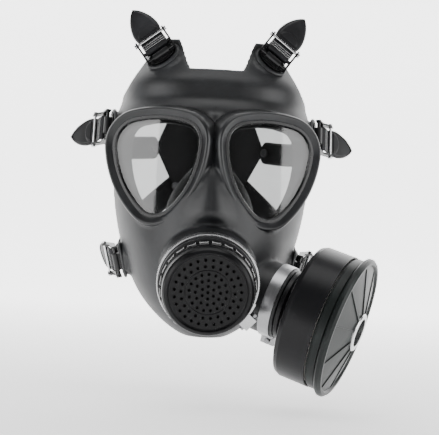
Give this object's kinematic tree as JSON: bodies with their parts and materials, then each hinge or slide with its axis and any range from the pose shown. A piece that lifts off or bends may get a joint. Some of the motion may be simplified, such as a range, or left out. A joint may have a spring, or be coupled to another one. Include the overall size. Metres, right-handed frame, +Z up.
{
  "type": "full face respirator",
  "caption": "Rubber full face respirator with twin eyepieces, round speech and exhalation unit, side screw-on filter canister and buckled head harness.",
  "frame": {"origin": "middle of the face opening, where the sealing edge meets the face", "axes": "+X to the wearer's left, +Y back into the head, +Z up"},
  "size_m": [0.2634, 0.2794, 0.3092],
  "materials": {
    "face_rubber": "satin",
    "cup_rubber": "satin",
    "strap_rubber": "satin",
    "gasket_rubber": "matte",
    "valve_silicone": "satin",
    "housing_plastic": "satin",
    "ring_plastic": "satin",
    "cover_plastic": "gloss",
    "valve_plastic": "satin",
    "lug_plastic": "satin",
    "buckle_plastic": "satin",
    "canister_plastic": "satin",
    "canister_paint": "satin",
    "cap_paint": "satin",
    "diaphragm_foil": "satin",
    "band_steel": "brushed",
    "screw_steel": "satin",
    "wire_steel": "polished",
    "inlet_metal": "satin",
    "grid_metal": "satin",
    "carbon": "matte",
    "filter_paper": "matte",
    "lens_clear": "gloss"
  },
  "bodies": {
    "facepiece_body": {"facepiece": "face_rubber", "nose_cup": "cup_rubber", "front_housing": "housing_plastic", "diaphragm_hub": "housing_plastic", "speech_diaphragm": "diaphragm_foil", "diaphragm_ring": "housing_plastic", "front_clamp_band": "band_steel", "side_clamp_band": "band_steel", "port_insert": "housing_plastic", "inhalation_seat": "housing_plastic", "buckle_lugs": "lug_plastic", "head_pad": "strap_rubber", "pad_rivets": "screw_steel", "lens_left": "lens_clear", "lens_ring_left": "ring_plastic", "cup_valve_seat_left": "valve_plastic", "lens_right": "lens_clear", "lens_ring_right": "ring_plastic", "cup_valve_seat_right": "valve_plastic", "strap_top_left": "strap_rubber", "strap_top_right": "strap_rubber", "strap_temple_left": "strap_rubber", "strap_temple_right": "strap_rubber", "strap_cheek_left": "strap_rubber", "strap_cheek_right": "strap_rubber"},
    "top_left_buckle": {"buckle_top_left": "buckle_plastic", "buckle_wire_top_left": "wire_steel"},
    "top_right_buckle": {"buckle_top_right": "buckle_plastic", "buckle_wire_top_right": "wire_steel"},
    "temple_left_buckle": {"buckle_temple_left": "buckle_plastic", "buckle_wire_temple_left": "wire_steel"},
    "temple_right_buckle": {"buckle_temple_right": "buckle_plastic", "buckle_wire_temple_right": "wire_steel"},
    "cheek_left_buckle": {"buckle_cheek_left": "buckle_plastic", "buckle_wire_cheek_left": "wire_steel"},
    "cheek_right_buckle": {"buckle_cheek_right": "buckle_plastic", "buckle_wire_cheek_right": "wire_steel"},
    "gasket_body": {"port_gasket": "gasket_rubber"},
    "canister_body": {"canister_neck": "canister_plastic", "canister_shell": "canister_paint", "outlet_grid": "grid_metal", "carbon_bed": "carbon", "bed_grid": "grid_metal", "particle_filter": "filter_paper", "canister_cap": "cap_paint", "inlet_ring": "inlet_metal"},
    "cover_body": {"front_cover": "cover_plastic"},
    "lock_ring_body": {"lock_ring": "ring_plastic"},
    "exhalation_body": {"exhalation_flap": "valve_silicone"},
    "inhalation_body": {"inhalation_flap": "valve_silicone"},
    "cup_valve_left_body": {"cup_valve_flap_left": "valve_silicone"},
    "cup_valve_right_body": {"cup_valve_flap_right": "valve_silicone"},
    "front_clamp_screw_body": {"front_clamp_screw": "screw_steel"},
    "side_clamp_screw_body": {"side_clamp_screw": "screw_steel"}
  },
  "joints": [
    {"name": "top_left_buckle_swing", "type": "hinge", "parent": "facepiece_body", "child": "top_left_buckle", "pos_m": [0.04631, -0.02378, 0.11879], "axis": [0.7975, 0.0775, -0.5983], "range_deg": [-8, 32], "deforming": ["strap_top_left"]},
    {"name": "top_right_buckle_swing", "type": "hinge", "parent": "facepiece_body", "child": "top_right_buckle", "pos_m": [-0.04631, -0.02378, 0.11879], "axis": [0.7975, -0.0775, 0.5983], "range_deg": [-8, 32], "deforming": ["strap_top_right"]},
    {"name": "temple_left_buckle_swing", "type": "hinge", "parent": "facepiece_body", "child": "temple_left_buckle", "pos_m": [0.08884, -0.00585, 0.05877], "axis": [0.0089, -0.2464, -0.9691], "range_deg": [-8, 32], "deforming": ["strap_temple_left"]},
    {"name": "temple_right_buckle_swing", "type": "hinge", "parent": "facepiece_body", "child": "temple_right_buckle", "pos_m": [-0.08884, -0.00585, 0.05877], "axis": [0.0089, 0.2464, 0.9691], "range_deg": [-8, 32], "deforming": ["strap_temple_right"]},
    {"name": "cheek_left_buckle_swing", "type": "hinge", "parent": "facepiece_body", "child": "cheek_left_buckle", "pos_m": [0.07541, -0.00787, -0.05462], "axis": [-0.2249, 0.239, -0.9446], "range_deg": [-8, 32], "deforming": ["strap_cheek_left"]},
    {"name": "cheek_right_buckle_swing", "type": "hinge", "parent": "facepiece_body", "child": "cheek_right_buckle", "pos_m": [-0.07541, -0.00787, -0.05462], "axis": [-0.2249, -0.239, 0.9446], "range_deg": [-8, 32], "deforming": ["strap_cheek_right"]},
    {"name": "canister_advance", "type": "slide", "parent": "facepiece_body", "child": "gasket_body", "axis": [0.892, -0.345, -0.292], "range_m": [0, 0.01089]},
    {"name": "canister_unscrew", "type": "hinge", "parent": "gasket_body", "child": "canister_body", "pos_m": [0.07634, -0.0601, -0.08424], "axis": [0.892, -0.345, -0.292], "range_deg": [0, 1080]},
    {"name": "cover_pull_off", "type": "slide", "parent": "facepiece_body", "child": "cover_body", "axis": [0, -0.9724, -0.2334], "range_m": [0, 0.03]},
    {"name": "lock_ring_turn", "type": "hinge", "parent": "facepiece_body", "child": "lock_ring_body", "pos_m": [0, -0.10945, -0.06727], "axis": [0, -0.9724, -0.2334], "range_deg": [0, 90]},
    {"name": "exhalation_flap_lift", "type": "slide", "parent": "facepiece_body", "child": "exhalation_body", "axis": [0, -0.9724, -0.2334], "range_m": [0, 0.0012], "stiffness_N_per_m": 30, "springref_m": -0.001},
    {"name": "inhalation_flap_lift", "type": "slide", "parent": "facepiece_body", "child": "inhalation_body", "axis": [-0.892, 0.345, 0.292], "range_m": [0, 0.0015], "stiffness_N_per_m": 30, "springref_m": -0.001},
    {"name": "cup_valve_flap_left_lift", "type": "slide", "parent": "facepiece_body", "child": "cup_valve_left_body", "axis": [-0.9134, 0.4072, 0], "range_m": [0, 0.0012], "stiffness_N_per_m": 30, "springref_m": -0.001},
    {"name": "cup_valve_flap_right_lift", "type": "slide", "parent": "facepiece_body", "child": "cup_valve_right_body", "axis": [0.9134, 0.4072, 0], "range_m": [0, 0.0012], "stiffness_N_per_m": 30, "springref_m": -0.001},
    {"name": "front_clamp_screw_turn", "type": "hinge", "parent": "facepiece_body", "child": "front_clamp_screw_body", "pos_m": [0.03255, -0.08996, -0.09273], "axis": [0.6691, -0.1735, 0.7226], "continuous": true},
    {"name": "side_clamp_screw_turn", "type": "hinge", "parent": "facepiece_body", "child": "side_clamp_screw_body", "pos_m": [0.05393, -0.03878, -0.10941], "axis": [0.4321, 0.8404, 0.3271], "continuous": true}
  ],
  "couplings": [
    {"joint": "canister_advance", "follows": "canister_unscrew", "m_per_rad": 0.00057751}
  ]
}
